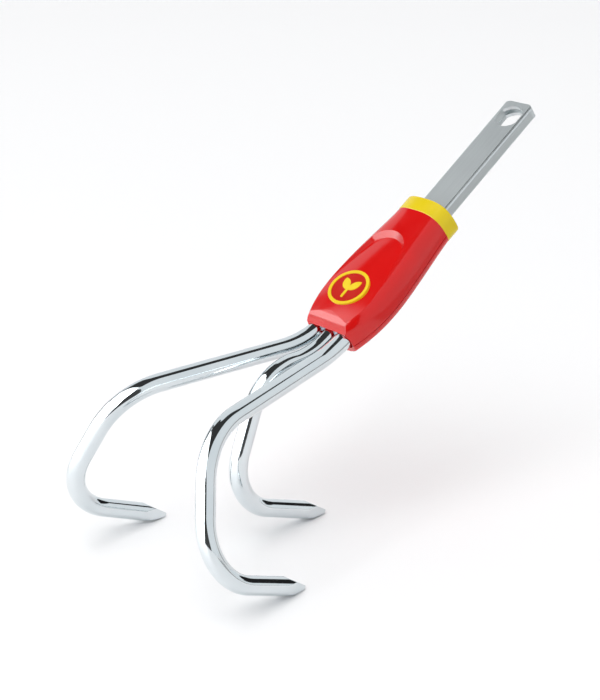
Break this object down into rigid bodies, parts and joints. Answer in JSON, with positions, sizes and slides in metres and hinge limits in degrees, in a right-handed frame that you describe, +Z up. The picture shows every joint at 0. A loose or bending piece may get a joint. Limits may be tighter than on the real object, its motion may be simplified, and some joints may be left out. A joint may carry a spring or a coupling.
{
  "type": "hand cultivator head",
  "caption": "Hand cultivator head with bent steel tines, a two-shell plastic housing, a collar ring and a flat hollow tang that clicks into a separate handle.",
  "frame": {"origin": "middle of the tool's footprint in its working stance, on the ground under the points of the tines", "axes": "+X back towards the handle, +Y to the tool's left, +Z up; the tang rises 33.4 degrees towards +X"},
  "size_m": [0.227, 0.1054, 0.1616],
  "materials": {
    "tang_steel": "satin zinc-plated sheet",
    "yellow_plastic": "satin moulded",
    "red_plastic": "glossy moulded",
    "tine_steel": "bright plated",
    "weld_metal": "plated weld",
    "badge_yellow": "glossy moulded",
    "badge_red": "glossy moulded",
    "screw_steel": "zinc-plated"
  },
  "bodies": {
    "root": {"tang": "tang_steel", "collar_ring": "yellow_plastic", "housing_upper": "red_plastic", "housing_lower": "red_plastic", "tine_left": "tine_steel", "tine_centre": "tine_steel", "tine_right": "tine_steel", "rod_weld_beads": "weld_metal", "tang_weld_beads": "weld_metal", "badge_base": "badge_yellow", "badge_inlay": "badge_red", "housing_screws": "screw_steel"}
  },
  "joints": []
}
